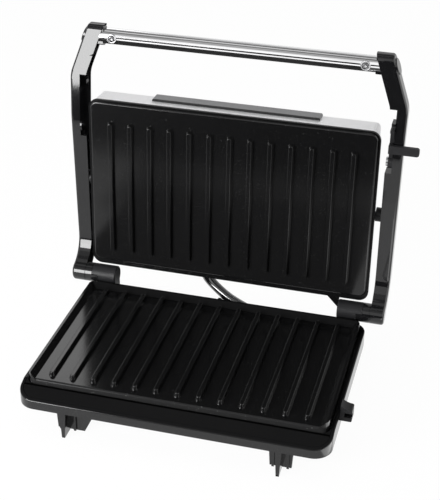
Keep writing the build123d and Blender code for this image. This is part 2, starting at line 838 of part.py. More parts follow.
with BuildPart() as lid_cover:
    add(cover_shape(0))
    add(cover_shape(cover_wall), mode=Mode.SUBTRACT)
    with BuildSketch(cross_plane(-plate_width / 2, pivot_y, pivot_z)):
        Circle(lid_pin_radius + seat_gap)
    extrude(amount=plate_width, mode=Mode.SUBTRACT)

lamp_plane = lid_face.offset(cover_back - trim_thickness)
lamp_rise = cover_height / 2 - lamp_drop
with BuildPart() as lid_trim:
    with BuildSketch(lid_face.offset(bezel_back - trim_setback)):
        with Locations((0, cover_height / 2 + trim_thickness - trim_back_run / 2)):
            Rectangle(trim_width, trim_back_run)
    extrude(amount=trim_setback - cover_depth - trim_thickness)
    back_face = lid_trim.faces().sort_by(lid_axis)[0]
    fillet(back_face.edges().sort_by(Axis.Z)[-1], cover_round + trim_thickness)
    fillet(lid_trim.faces().sort_by(lid_axis)[0].edges().filter_by(Axis.X, reverse=True), trim_round)
    add(cover_shape(0), mode=Mode.SUBTRACT)
    with BuildSketch(lamp_plane):
        with Locations((-lamp_spacing / 2, lamp_rise), (lamp_spacing / 2, lamp_rise)):
            Circle(lamp_radius + seat_gap)
    extrude(amount=trim_thickness, mode=Mode.SUBTRACT)


def lamp(x):
    """Domed lens in the trim, at x."""
    with BuildPart() as lens:
        with BuildSketch(lamp_plane.offset(lamp_seat)):
            with Locations((x, lamp_rise)):
                Circle(lamp_radius)
        extrude(amount=-lamp_seat - lamp_height)
        fillet(lens.faces().sort_by(lid_axis)[0].edges(), lamp_round)
    return lens.part


with BuildPart() as lid_pin_right:
    with BuildSketch(cross_plane(block_x - pivot_block_length / 2, pivot_y, pivot_z)):
        Circle(lid_pin_radius)
    extrude(amount=arm_inner + lid_pin_in_arm - block_x + pivot_block_length / 2)

with BuildPart() as pivot_bush_right:
    with BuildSketch(cross_plane(bush_inner, pivot_y, pivot_z)):
        Circle(bush_radius)
        Circle(lid_pin_radius + running_gap, mode=Mode.SUBTRACT)
    extrude(amount=bush_length)

# Lock lever: hub, bar with a hook, and a tab across the front of the right arm
with BuildPart() as lock_lever:
    with BuildSketch(cross_plane(lever_inner, lever_y, lever_z)):
        Circle(hub_radius)
        with Locations((0, hook_reach / 2)):
            Rectangle(bar_width, hook_reach)
        with Locations((-bar_width / 2 - hook_nose / 2, hook_reach - hook_thickness / 2)):
            Rectangle(hook_nose, hook_thickness)
        tab_front = lever_y - arm_front + tab_clear + tab_thickness
        with Locations((-tab_front / 2, tab_rise + tab_height / 2)):
            Rectangle(tab_front, tab_height)
        Circle(lever_pin_radius + running_gap, mode=Mode.SUBTRACT)
    extrude(amount=lever_thickness)
    with BuildSketch(cross_plane(lever_inner, lever_y, lever_z)):
        with Locations((tab_thickness / 2 - tab_front, tab_rise + tab_height / 2)):
            Rectangle(tab_thickness, tab_height)
    extrude(amount=arm_inner + arm_head_width + tab_stand_out - lever_inner)
    fillet(lock_lever.edges().filter_by(Axis.Y).group_by(Axis.X)[-1], tab_round)

with BuildPart() as lever_pivot:
    with BuildSketch(cross_plane(lever_inner - fit_gap - lever_pin_head, lever_y, lever_z)):
        Circle(lever_pin_head_radius)
    extrude(amount=lever_pin_head)
    with BuildSketch(cross_plane(lever_inner - fit_gap, lever_y, lever_z)):
        Circle(lever_pin_radius)
    extrude(amount=pocket_floor + lever_pin_in_arm - lever_inner)

with BuildPart() as lock_catch:
    with BuildSketch(Plane.XZ.offset(-catch_front)):
        with BuildLine():
            low = slot_bottom - catch_below_slot
            high = slot_top + catch_above_slot
            wall_x = base_width / 2
            tip_x = wall_x + catch_width
            edge = Polyline((wall_x, high + catch_hollow), (wall_x, low), (tip_x, low), (tip_x, high))
            RadiusArc(edge @ 1, edge @ 0, catch_width * 1.6)
        make_face()
    extrude(amount=-catch_length)
    fillet(lock_catch.edges().filter_by(Axis.Y).group_by(Axis.X)[-1], catch_round)
    with BuildSketch(Plane.XZ.offset(-catch_front)):
        with BuildLine():
            Polyline(
                (lever_inner - catch_gap, slot_bottom),
                (wall_x + catch_width, slot_bottom),
                (wall_x + catch_width, slot_top),
                (lever_inner - catch_gap, slot_top),
                close=True,
            )
        make_face()
    extrude(amount=-(hook_nose + catch_gap), mode=Mode.SUBTRACT)

# Inside: sheathed heaters, reflectors, thermostat and terminals


def heater(plane):
    """Heating element, an open loop lying in the given plane."""
    x = plate_width / 2 - heater_side_margin
    y = lower_plate_depth / 2 - heater_end_margin
    tail = heater_tail_gap / 2
    with BuildPart() as element:
        with BuildLine(plane) as loop:
            FilletPolyline((tail, y), (x, y), (x, -y), (-x, -y), (-x, y), (-tail, y), radius=heater_bend)
        with BuildSketch(Plane(origin=loop.line @ 0, z_dir=loop.line % 0)):
            Circle(heater_radius)
        sweep()
    return element.part


lower_heater = heater(Plane(origin=(0, plate_mid, pan_underside - heater_radius)))
upper_heater = heater(lid_face.offset(upper_edge_back - heater_radius))

with BuildPart() as lower_reflector:
    with BuildSketch(Plane.XY.offset(reflector_z)):
        with Locations((0, plate_mid)):
            RectangleRounded(reflector_width, reflector_depth, reflector_corner)
            Circle(thermostat_radius + 2 * reflector_gap, mode=Mode.SUBTRACT)
    extrude(amount=reflector_thickness)

with BuildPart() as upper_reflector:
    with BuildSketch(lid_face.offset(upper_post_end - reflector_thickness)):
        RectangleRounded(reflector_width, reflector_depth, reflector_corner)
    extrude(amount=reflector_thickness)

with BuildPart() as thermostat:
    with BuildSketch(Plane.XY.offset(pan_underside)):
        with Locations((0, plate_mid)):
            Circle(thermostat_radius)
    extrude(amount=-thermostat_height)
    with BuildSketch(Plane.XY.offset(pan_underside)):
        with Locations((0, plate_mid)):
            Rectangle(2 * thermostat_radius, thermostat_radius)
    extrude(amount=-reflector_thickness)

with BuildPart() as terminal_block:
    with BuildSketch(Plane.XY.offset(base_bottom + base_floor)):
        with Locations((0, terminal_y)):
            Rectangle(terminal_width, terminal_depth)
    extrude(amount=terminal_height)
    with BuildSketch(Plane.XY.offset(base_bottom + base_floor + terminal_height)):
        with Locations((0, terminal_y)):
            with GridLocations(terminal_width / 4, 1, 4, 1):
                Circle(screw_shank_radius)
    extrude(amount=-terminal_height / 2, mode=Mode.SUBTRACT)

with BuildPart() as base_screws:
    with BuildSketch(Plane.XY.offset(base_bottom)):
        with Locations((0, plate_mid)):
            with GridLocations(2 * reflector_post_x, 2 * reflector_post_y, 2, 2):
                Circle(screw_pad_radius)
    extrude(amount=screw_pad)
    with BuildSketch(Plane.XY.offset(base_bottom)):
        with Locations((0, plate_mid)):
            with GridLocations(2 * reflector_post_x, 2 * reflector_post_y, 2, 2):
                Circle(screw_shank_radius)
    extrude(amount=screw_length)
    with BuildSketch(Plane.XY.offset(base_bottom)):
        with Locations((0, plate_mid)):
            with GridLocations(2 * reflector_post_x, 2 * reflector_post_y, 2, 2):
                Rectangle(screw_pad_radius, 0.8)
                Rectangle(0.8, screw_pad_radius)
    extrude(amount=screw_pad / 2, mode=Mode.SUBTRACT)

# Leads: the mains gland, and the sleeved lead between two glands
with BuildPart() as cord_gland:
    with BuildSketch(Plane.XZ.offset(-base_back)):
        with Locations((gland_x, gland_height)):
            Circle(gland_radius)
    extrude(amount=-gland_stand_out)
    fillet(cord_gland.faces().sort_by(Axis.Y)[-1].edges(), 1.0)
    with BuildSketch(Plane.XZ.offset(-base_back)):
        with Locations((gland_x, gland_height)):
            Circle(gland_bore - seat_gap)
    extrude(amount=base_wall)
    with BuildSketch(Plane.XZ.offset(-base_back - gland_stand_out)):
        with Locations((gland_x, gland_height)):
            Circle(cord_radius)
    extrude(amount=gland_depth, mode=Mode.SUBTRACT)

cable_points = [Vector(x, hinge_y + y, hinge_z + z) for x, y, z in cable_route]
cable_runs = [(b - a).length for a, b in zip(cable_points, cable_points[1:])]
cable_turns = [(b - a).get_angle(c - b) for a, b, c in zip(cable_points, cable_points[1:], cable_points[2:])]
cable_radii = [
    0.45 * min(before, after) / tan(radians(turn / 2))
    for before, after, turn in zip(cable_runs, cable_runs[1:], cable_turns)
]
print("lead bend radii", [round(radius, 1) for radius in cable_radii])


def lead(radius):
    """The lead along its route, as thick as asked."""
    with BuildPart() as sleeve:
        with BuildLine() as route:
            FilletPolyline(*cable_points, radius=cable_radii)
        with BuildSketch(Plane(origin=route.line @ 0, z_dir=route.line % 0)):
            Circle(radius)
        sweep()
    print("lead length", round(route.wire().length, 2), "volume", round(sleeve.part.volume, 1))
    return sleeve.part


link_cable = lead(cable_radius)
cable_start = cable_points[0]
cable_end = cable_points[-1]

with BuildPart() as link_gland_lid:
    with BuildSketch(Plane.XY.offset(cable_start.Z - lid_gland_drop)):
        with Locations((cable_start.X, cable_start.Y)):
            Circle(lid_gland_radius)
    extrude(amount=lid_gland_drop + lid_gland_rise)
    add(cover_shape(0), mode=Mode.SUBTRACT)
    add(lead(cable_radius + fit_gap), mode=Mode.SUBTRACT)

with BuildPart() as link_gland_base:
    with BuildSketch(Plane.XZ.offset(-base_back)):
        with BuildLine():
            Polyline(
                (cable_end.X - saddle_left, base_rim - saddle_drop),
                (cable_end.X + saddle_right, base_rim - saddle_drop),
                (cable_end.X + saddle_right, cable_end.Z),
                (cable_end.X, cable_end.Z + saddle_lip),
                (cable_end.X - saddle_left, base_rim - saddle_left_drop),
                close=True,
            )
        make_face()
    extrude(amount=-saddle_depth)
    add(lead(cable_radius + fit_gap), mode=Mode.SUBTRACT)

os.makedirs("parts", exist_ok=True)


def keep(name, part):
    """Label a finished piece and write it under its name."""
    part.label = name
    export_step(part, f"parts/{name}.step")


def keep_pair(name, part):
    """Write a right-hand piece and its mirror image."""
    keep(f"{name}_right", part)
    with BuildPart() as other:
        mirror(part, about=Plane.YZ)
    keep(f"{name}_left", other.part)


keep("base_housing", base_housing.part)
keep("base_frame", base_frame.part)
keep("lower_plate", lower_plate.part)
for foot_name, foot_part in feet.items():
    keep(foot_name, foot_part)
keep_pair("hinge_bracket", hinge_bracket_right.part)
keep_pair("hinge_pin", hinge_pin_right.part)
keep("arm_right", arm_right.part)
keep("arm_left", arm_left.part)
keep("handle_tube", handle_tube.part)
keep_pair("handle_plug", handle_plug_right.part)
keep("handle_screws", handle_screws.part)
keep("upper_plate", upper_plate.part)
keep("lid_frame", lid_frame.part)
keep("lid_lug", lid_lug.part)
keep("lid_cover", lid_cover.part)
keep_pair("lid_pin", lid_pin_right.part)
keep_pair("pivot_bush", pivot_bush_right.part)
keep("lock_lever", lock_lever.part)
keep("lever_pivot", lever_pivot.part)
keep("lock_catch", lock_catch.part)
keep("lid_trim", lid_trim.part)
keep("lamp_red", lamp(-lamp_spacing / 2))
keep("lamp_green", lamp(lamp_spacing / 2))
keep("lower_heater", lower_heater)
keep("upper_heater", upper_heater)
keep("lower_reflector", lower_reflector.part)
keep("upper_reflector", upper_reflector.part)
keep("thermostat", thermostat.part)
keep("terminal_block", terminal_block.part)
keep("base_screws", base_screws.part)
keep("cord_gland", cord_gland.part)
keep("link_gland_base", link_gland_base.part)
keep("link_gland_lid", link_gland_lid.part)
keep("link_cable", link_cable)
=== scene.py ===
import math

import bmesh
import bpy
from bpy.props import FloatProperty, FloatVectorProperty, IntProperty, PointerProperty
from mathutils import Matrix, Vector


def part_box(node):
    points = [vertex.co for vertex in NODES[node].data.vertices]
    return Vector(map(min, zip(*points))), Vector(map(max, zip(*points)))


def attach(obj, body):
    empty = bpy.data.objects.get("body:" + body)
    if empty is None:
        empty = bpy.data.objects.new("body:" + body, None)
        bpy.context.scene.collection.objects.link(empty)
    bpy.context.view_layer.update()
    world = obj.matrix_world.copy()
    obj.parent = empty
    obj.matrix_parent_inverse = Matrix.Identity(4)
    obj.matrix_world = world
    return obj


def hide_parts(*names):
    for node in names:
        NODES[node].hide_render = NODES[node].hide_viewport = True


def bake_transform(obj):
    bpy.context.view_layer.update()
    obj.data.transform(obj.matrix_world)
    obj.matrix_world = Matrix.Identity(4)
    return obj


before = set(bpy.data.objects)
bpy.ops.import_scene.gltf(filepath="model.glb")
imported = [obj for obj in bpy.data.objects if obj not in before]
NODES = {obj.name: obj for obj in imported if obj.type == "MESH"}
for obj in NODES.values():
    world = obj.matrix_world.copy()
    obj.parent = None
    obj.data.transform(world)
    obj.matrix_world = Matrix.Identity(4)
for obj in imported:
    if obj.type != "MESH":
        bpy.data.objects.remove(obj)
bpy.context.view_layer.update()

bl_info = {
    "name": "Panini press",
    "version": (1, 0, 0),
    "blender": (4, 5, 0),
    "location": "3D View > Sidebar > Panini Press",
    "description": "Dresses an open panini press: finishes, handle screws, sleeved lead and studio",
    "category": "Object",
}

MM = 0.001
WHITE = (1.0, 1.0, 1.0, 1.0)

# Moulded grain: scale and share of its slow change of gloss
CLOUD_SCALE = 38.0
CLOUD_SHARE = 0.7

# Specks: sharpness of their rim, and the noise that gathers them into patches
SPECK_EDGE = 14.0
PATCH_SCALE = 130.0
PATCH_LEAST = 0.46
PATCH_EDGE = 6.0

# Drawn lines: noise drawn out along X
LINE_STRETCH = (0.012, 1.0, 1.0)

# Handle screws: steps of a full turn, joining distance, and the recess's lobes
TURN_STEPS = 32
JOIN_DISTANCE = 1e-6
LOBES = 4.0
LOBE_DEPTH = 0.3

# Route of the lead from the lid's gland to the base's gland, in metres
LEAD_ROUTE = (
    (-0.0220, 0.0985, 0.0554),
    (-0.0208, 0.0985, 0.0486),
    (-0.0148, 0.0973, 0.0424),
    (-0.0044, 0.0935, 0.0362),
    (0.0056, 0.0899, 0.0324),
    (0.0160, 0.0877, 0.0294),
)
LEAD_STEPS = 8

# Lights: place, the point they are turned to, width and height
SOFTBOX = ((-0.64, -0.86, 0.355), (-0.05, 0.08, 0.355), 0.60, 0.70)
TOP_PANEL = ((-0.2, -0.1, 1.6), (0.0, 0.0, 0.1), 1.4, 1.4)

FLOOR_HALF = 6.0
FLOOR_TONE = 0.9
SENSOR_WIDTH = 36.0
CLIP_START = 0.01

# Cards that only polished faces see: name, place, turn, half sizes and brightness
FLAT = Matrix.Identity(4)
UPRIGHT = Matrix.Rotation(math.radians(90.0), 4, "X")
SIDEWAYS = Matrix.Rotation(math.radians(90.0), 4, "Y")
CARDS = (
    ("table_card", (0.0, 0.815, 0.001), FLAT, (2.2, 1.085), 1.0),
    ("pit_card", (0.0, -1.0, -0.8), FLAT, (2.2, 0.8), 0.0),
    ("front_card", (0.0, -1.7, -0.15), UPRIGHT, (2.2, 0.65), 0.0),
    ("near_floor_card", (-0.0525, -0.2, 0.002), FLAT, (0.1375, 0.07), 0.25),
    ("right_floor_card", (0.215, -0.06, 0.003), FLAT, (0.075, 0.07), 3.0),
    ("right_arm_card", (0.112, 0.002, 0.05), FLAT, (0.010, 0.077), 1.1),
    ("plate_shade_card", (-0.0168, -0.015, 0.0485), FLAT, (0.118, 0.085), 0.09),
    ("back_floor_card", (-0.26, 0.55, 0.002), FLAT, (0.36, 0.41), 0.0),
    ("ceiling_card_1", (0.0, 1.615, 1.9), FLAT, (2.2, 0.685), 0.5),
    ("ceiling_card_2", (0.0, 0.645, 1.9), FLAT, (2.2, 0.285), 0.12),
    ("ceiling_card_3", (0.0, 0.105, 1.9), FLAT, (2.2, 0.255), 0.65),
    ("ceiling_card_4", (0.0, -0.425, 1.9), FLAT, (2.2, 0.275), 0.2),
    ("ceiling_card_5", (0.0, -1.2, 1.9), FLAT, (2.2, 0.5), 0.45),
    ("tube_strip_card", (-0.012, 0.03, 0.2115), UPRIGHT, (0.116, 0.0165), 1.3),
    ("tube_line_card", (-0.012, 0.03, 0.241), UPRIGHT, (0.116, 0.013), 0.0),
    ("tube_light_card", (-0.012, 0.03, 0.277), UPRIGHT, (0.116, 0.023), 1.1),
    ("tube_shade_card", (-0.01, 0.1005, 0.232), FLAT, (0.108, 0.0175), 0.03),
    ("back_card", (0.0, 1.9, 1.0), UPRIGHT, (2.2, 1.0), 0.86),
    ("back_light_card", (-1.02, 1.88, 1.52), UPRIGHT, (0.28, 0.28), 2.4),
    ("right_card", (1.1, 0.1, 0.6), SIDEWAYS, (0.6, 0.8), 2.0),
)
ONE_SIDED_CARDS = ("right_arm_card", "plate_shade_card")


def colour(name, description, default):
    """Colour property with a swatch."""
    return FloatVectorProperty(
        name=name, description=description, default=default, size=3, min=0.0, max=1.0, subtype="COLOR"
    )


def share(name, description, default):
    """Property between 0 and 1."""
    return FloatProperty(
        name=name, description=description, default=default, min=0.0, max=1.0, subtype="FACTOR"
    )


def length(name, description, default):
    """Length property in metres."""
    return FloatProperty(
        name=name, description=description, default=default, min=0.0, unit="LENGTH", precision=4
    )


def angle(name, description, default):
    """Angle property, with its default in degrees."""
    return FloatProperty(
        name=name, description=description, default=math.radians(default), unit="ROTATION"
    )


def power(name, description, default):
    """Power of a light in watts."""
    return FloatProperty(name=name, description=description, default=default, min=0.0, unit="POWER")


class PressFinishes(bpy.types.PropertyGroup):
    """Colours and gloss of the press."""

    coat: colour("Non-stick coat", "Colour of both cooking plates", (0.004, 0.004, 0.0042))
    coat_rough: share("Coat roughness", "Roughness of the non-stick coat", 0.14)
    coat_gloss: share("Coat gloss", "Specular level of the non-stick coat", 0.4)
    # The coat's specks are its own; on the lower plate's front wall they are raised and a pale tint is added,
    # as painted sheen and glints.
    speck_and_sheen_tone: colour("Speck tone", "Colour of the coat's specks and haze", (0.5, 0.5, 0.5))
    speck: share("Coat specks", "How much the pale specks show in the coat", 0.06)
    wall_specks_and_glints: share("Wall specks", "How much more they show on the lower plate's front wall", 0.3)
    wall_painted_sheen: share("Wall haze", "How pale that wall is between its specks", 0.022)
    wall_band: length("Wall band", "Depth of that wall and its rounded edge", 1.6 * MM)
    wall_gloss: share("Wall gloss", "Specular level of that wall and of the back lip", 0.09)
    lip_band: length("Lip band", "Depth of the dull back lip of the lower plate", 7.0 * MM)
    arm: colour("Arm plastic", "Colour of the polished arms", (0.006, 0.006, 0.0065))
    arm_rough: share("Arm roughness", "Roughness of the polished arms", 0.045)
    barrel: colour("Barrel plastic", "Colour of the hinge barrels and the lever", (0.013, 0.013, 0.014))
    barrel_gloss: share("Barrel gloss", "Specular level of the hinge barrels", 0.19)
    shell: colour("Housing plastic", "Colour of the base housing and the legs", (0.006, 0.006, 0.0063))
    shell_gloss: share("Housing gloss", "Specular level of the base housing and the legs", 0.5)
    rim_facing: share("Rim facing", "Least height of the normal on the housing's dull rim", 0.55)
    rim_gloss: share("Rim gloss", "Specular level of the housing's rim", 0.08)
    apron: colour("Apron plastic", "Colour of the apron and the bezel", (0.004, 0.004, 0.0042))
    apron_gloss: share("Apron gloss", "Specular level of the apron and the bezel", 0.12)
    # Painted shade: a black band with no specular on the apron stands in for the shadow in the gap between
    # apron and plate.
    seam: colour("Seam", "Colour of the dark line where apron and plate meet", (0.001, 0.001, 0.001))
    gap_shade_gloss: share("Seam gloss", "Specular level of that line", 0.0)
    gap_shade_offset: length("Seam gap", "Distance of that line's middle from the plate's front", 1.4 * MM)
    gap_shade_half: length("Seam half width", "Half the depth of that line", 0.7 * MM)
    trim: colour("Trim plastic", "Colour of the strip that holds the lamps", (0.165, 0.165, 0.17))
    # Painted shade: the trim's front edge is painted in the apron's black for the shadow under that edge.
    trim_edge_shade: length("Trim edge", "Depth of the dark line along the strip's front edge", 0.7 * MM)
    terminal: colour("Terminal plastic", "Colour of the terminal block", (0.8, 0.78, 0.72))
    cover: colour("Cover metal", "Colour of the lid's cover", (0.78, 0.78, 0.79))
    chrome: colour("Handle chrome", "Colour of the handle tube", (0.92, 0.92, 0.93))
    chrome_shade: share("Chrome shade", "Tone of the darker lines in the chrome", 0.7)
    steel: colour("Bright steel", "Colour of pins and screws", (0.62, 0.62, 0.63))
    # Painted shade: a dark ring over the screw's groove and the outer part of its head.
    groove_shade: colour("Screw groove", "Colour between a screw's middle and its washer", (0.21, 0.21, 0.215))
    heater: colour("Heater sheath", "Colour of the heaters", (0.2, 0.19, 0.18))
    foil: colour("Reflector sheet", "Colour of the reflectors", (0.75, 0.75, 0.76))
    red_lens: colour("Red lens", "Colour of the red lamp", (0.55, 0.02, 0.015))
    green_lens: colour("Green lens", "Colour of the green lamp", (0.03, 0.4, 0.07))
    sleeve: colour("Lead sleeve", "Colour of the lead between base and lid", (0.006, 0.006, 0.0065))


class PressSizes(bpy.types.PropertyGroup):
    """Sizes of the pieces made here."""

    screw_radius: length("Screw head", "Radius of a handle screw's head", 2.5 * MM)
    screw_stand: length("Screw stand", "Height of a handle screw's head above the tube", 1.3 * MM)
    washer_radius: length("Washer", "Radius of the washer under a handle screw", 3.9 * MM)
    washer_gap: length("Washer gap", "Width of the groove between head and washer", 0.35 * MM)
    lead_radius: length("Lead", "Radius of the lead's sleeve", 4.1 * MM)
    lead_sides: IntProperty(
        name="Lead sides", description="Fineness of the lead's round section", default=6, min=2, max=16
    )


class PressStudio(bpy.types.PropertyGroup):
    """Light and view."""

    lens: FloatProperty(
        name="Lens", description="Focal length of the camera", default=89.41, min=10.0, unit="CAMERA"
    )
    camera_place: FloatVectorProperty(
        name="Camera place",
        description="Where the camera stands",
        default=(0.21556, -0.76082, 0.58915),
        size=3,
        subtype="TRANSLATION",
        unit="LENGTH",
    )
    azimuth: angle("Azimuth", "Turn of the camera round the press", 14.65)
    elevation: angle("Elevation", "Height angle of the camera", 30.07)
    roll: angle("Roll", "Tilt of the image", 0.66)
    ambient: share("Ambient", "Strength of the light from all round", 0.55)
    floor_glow: share("Floor glow", "How much of the floor is plain white where it is seen", 0.96)
    softbox_power: power("Softbox", "Power of the tall softbox at the front left", 20.0)
    top_power: power("Top light", "Power of the panel overhead", 6.0)


def settings():
    """The three groups of properties."""
    scene = bpy.context.scene
    return scene.press_finishes, scene.press_sizes, scene.press_studio


# Shader node groups


def node_group(name, inputs, outputs):
    """Empty shader group with the named float or vector sockets."""
    group = bpy.data.node_groups.new(name, "ShaderNodeTree")
    for socket, kind, default in inputs:
        item = group.interface.new_socket(socket, in_out="INPUT", socket_type=kind)
        if default is not None:
            item.default_value = default
    for socket, kind in outputs:
        group.interface.new_socket(socket, in_out="OUTPUT", socket_type=kind)
    enter = group.nodes.new("NodeGroupInput")
    leave = group.nodes.new("NodeGroupOutput")
    return group, enter, leave


def math_node(tree, operation, first, second=None, clamp=False):
    """Math node fed by sockets or numbers."""
    node = tree.nodes.new("ShaderNodeMath")
    node.operation = operation
    node.use_clamp = clamp
    for socket, value in zip(node.inputs, (first, second)):
        if value is None:
            continue
        if isinstance(value, (int, float)):
            socket.default_value = value
        else:
            tree.links.new(value, socket)
    return node.outputs[0]


def scaled(tree, vector, factors):
    """Coordinates stretched by a factor on each axis."""
    node = tree.nodes.new("ShaderNodeVectorMath")
    node.operation = "MULTIPLY"
    tree.links.new(vector, node.inputs[0])
    node.inputs[1].default_value = factors
    return node.outputs[0]


def noise(tree, vector, scale, detail, rough=0.55):
    """Noise value at a scale in turns per metre, a number or a socket."""
    node = tree.nodes.new("ShaderNodeTexNoise")
    tree.links.new(vector, node.inputs["Vector"])
    if isinstance(scale, (int, float)):
        node.inputs["Scale"].default_value = scale
    else:
        tree.links.new(scale, node.inputs["Scale"])
    node.inputs["Detail"].default_value = detail
    node.inputs["Roughness"].default_value = rough
    return node.outputs["Fac"]


def grain_group():
    """Moulded grain: uneven gloss and a fine skin texture."""
    group, enter, leave = node_group(
        "Moulded grain",
        [
            ("Vector", "NodeSocketVector", None),
            ("Scale", "NodeSocketFloat", 900.0),
            ("Low", "NodeSocketFloat", 0.2),
            ("High", "NodeSocketFloat", 0.3),
        ],
        [("Roughness", "NodeSocketFloat"), ("Height", "NodeSocketFloat")],
    )
    cloud = noise(group, enter.outputs["Vector"], CLOUD_SCALE, 4.0)
    fine = noise(group, enter.outputs["Vector"], enter.outputs["Scale"], 2.0)
    blend = math_node(
        group,
        "ADD",
        math_node(group, "MULTIPLY", cloud, CLOUD_SHARE),
        math_node(group, "MULTIPLY", fine, 1.0 - CLOUD_SHARE),
    )
    span = math_node(group, "SUBTRACT", enter.outputs["High"], enter.outputs["Low"])
    spread = math_node(group, "MULTIPLY", blend, span)
    group.links.new(math_node(group, "ADD", spread, enter.outputs["Low"]), leave.inputs["Roughness"])
    group.links.new(fine, leave.inputs["Height"])
    return group


def speck_group():
    """Small scattered specks, as in a sprayed coat or dust on a dark face."""
    group, enter, leave = node_group(
        "Scattered specks",
        [
            ("Vector", "NodeSocketVector", None),
            ("Scale", "NodeSocketFloat", 400.0),
            ("Size", "NodeSocketFloat", 0.12),
        ],
        [("Mask", "NodeSocketFloat")],
    )
    cells = group.nodes.new("ShaderNodeTexVoronoi")
    cells.feature = "F1"
    group.links.new(enter.outputs["Vector"], cells.inputs["Vector"])
    group.links.new(enter.outputs["Scale"], cells.inputs["Scale"])
    inside = math_node(group, "SUBTRACT", enter.outputs["Size"], cells.outputs["Distance"])
    sharp = math_node(group, "MULTIPLY", inside, SPECK_EDGE, clamp=True)
    patch = math_node(group, "SUBTRACT", noise(group, enter.outputs["Vector"], PATCH_SCALE, 3.0), PATCH_LEAST)
    chance = math_node(group, "MULTIPLY", patch, PATCH_EDGE, clamp=True)
    group.links.new(math_node(group, "MULTIPLY", sharp, chance), leave.inputs["Mask"])
    return group


def drawn_group():
    """Fine lines along X, as drawn or polished metal shows."""
    group, enter, leave = node_group(
        "Drawn lines",
        [("Vector", "NodeSocketVector", None), ("Scale", "NodeSocketFloat", 600.0)],
        [("Lines", "NodeSocketFloat")],
    )
    stretched = scaled(group, enter.outputs["Vector"], LINE_STRETCH)
    lines = noise(group, stretched, enter.outputs["Scale"], 4.0, 0.7)
    group.links.new(lines, leave.inputs["Lines"])
    return group


GROUPS = {}


def shared(name, maker):
    """Shader group made once and used by several finishes."""
    if name not in GROUPS:
        GROUPS[name] = maker()
    return GROUPS[name]


class Finish:
    """Node material under construction, on object coordinates."""

    def __init__(self, name, base, metallic=0.0):
        self.material = bpy.data.materials.new(name)
        self.material.use_nodes = True
        self.tree = self.material.node_tree
        self.shader = self.tree.nodes["Principled BSDF"]
        texture = self.tree.nodes.new("ShaderNodeTexCoord")
        self.coordinates = texture.outputs["Object"]
        self.normals = texture.outputs["Normal"]
        self.set("Base Color", (*base, 1.0))
        self.set("Metallic", metallic)

    def set(self, socket, value):
        """Give one of the shader's sockets a constant."""
        self.shader.inputs[socket].default_value = value

    def feed(self, socket, source):
        """Lead a value into one of the shader's sockets."""
        self.tree.links.new(source, self.shader.inputs[socket])

    def math(self, operation, first, second=None, clamp=False):
        """Math node in this material."""
        return math_node(self.tree, operation, first, second, clamp)

    def put(self, group, **values):
        """Place a shared group, fed with the coordinates and the given values."""
        node = self.tree.nodes.new("ShaderNodeGroup")
        node.node_tree = group
        self.tree.links.new(self.coordinates, node.inputs["Vector"])
        for socket, value in values.items():
            node.inputs[socket].default_value = value
        return node.outputs

    def grain(self, scale, low, high, depth):
        """Uneven gloss between low and high, with a fine bump of the given depth."""
        made = self.put(shared("grain", grain_group), Scale=scale, Low=low, High=high)
        self.feed("Roughness", made["Roughness"])
        self.bump(made["Height"], depth)

    def drawn(self, scale, spread, least):
        """Roughness that rises from least by the spread along drawn lines, whose value comes back."""
        lines = self.put(shared("lines", drawn_group), Scale=scale)["Lines"]
        self.feed("Roughness", self.math("ADD", self.math("MULTIPLY", lines, spread), least))
        return lines

    def bump(self, height, depth):
        """Bump from a height socket, depth in metres."""
        bump = self.tree.nodes.new("ShaderNodeBump")
        bump.inputs["Distance"].default_value = depth
        bump.inputs["Strength"].default_value = 1.0
        self.tree.links.new(height, bump.inputs["Height"])
        self.feed("Normal", bump.outputs["Normal"])

    def tint(self, mask, first, second):
        """Base colour from first to second by a mask."""
        mix = self.tree.nodes.new("ShaderNodeMix")
        mix.data_type = "RGBA"
        self.tree.links.new(mask, mix.inputs[0])
        mix.inputs[6].default_value = (*first, 1.0)
        mix.inputs[7].default_value = (*second, 1.0)
        self.feed("Base Color", mix.outputs[2])

    def gloss(self, mask, level, masked):
        """Specular level, and the level where the mask is one."""
        drop = self.math("MULTIPLY", mask, masked - level)
        self.feed("Specular IOR Level", self.math("ADD", drop, level))

    def parts_of(self, vector):
        """The three parts of a vector."""
        parts = self.tree.nodes.new("ShaderNodeSeparateXYZ")
        self.tree.links.new(vector, parts.inputs[0])
        return parts.outputs

    def front(self, node, depth):
        """Mask of what lies less than a depth behind the front of a frame node."""
        return self.math("LESS_THAN", self.parts_of(self.coordinates)["Y"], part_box(node)[0].y + depth)

    def band(self, middle, half):
        """Mask of a band across Y, by its middle and half its depth."""
        offset = self.math("SUBTRACT", self.parts_of(self.coordinates)["Y"], middle)
        return self.math("LESS_THAN", self.math("ABSOLUTE", offset), half)

    def ring(self, x, z, inner, outer):
        """Mask of a ring round a line along Y, on both sides of the press."""
        place = self.parts_of(self.coordinates)
        across = self.math("SUBTRACT", self.math("ABSOLUTE", place["X"]), x)
        rise = self.math("SUBTRACT", place["Z"], z)
        squares = [self.math("MULTIPLY", offset, offset) for offset in (across, rise)]
        radius = self.math("SQRT", self.math("ADD", *squares))
        within = self.math("LESS_THAN", radius, outer)
        return self.math("MULTIPLY", within, self.math("GREATER_THAN", radius, inner))

    def facing_up(self, least):
        """Mask of what looks up, by the least height of its normal."""
        return self.math("GREATER_THAN", self.parts_of(self.normals)["Z"], least)

    def give(self, *names):
        """Put the finish on frame nodes."""
        for name in names:
            mesh = NODES[name].data
            mesh.materials.clear()
            mesh.materials.append(self.material)


def link(name, data):
    """Object of the given data, in the scene."""
    made = bpy.data.objects.new(name, data)
    bpy.context.scene.collection.objects.link(made)
    return made


def mesh_object(name, builder, material):
    """Object from a bmesh, which is freed, with its material."""
    mesh = bpy.data.meshes.new(name)
    builder.to_mesh(mesh)
    builder.free()
    mesh.materials.append(material)
    return link(name, mesh)


# Finishes of the frame's own nodes


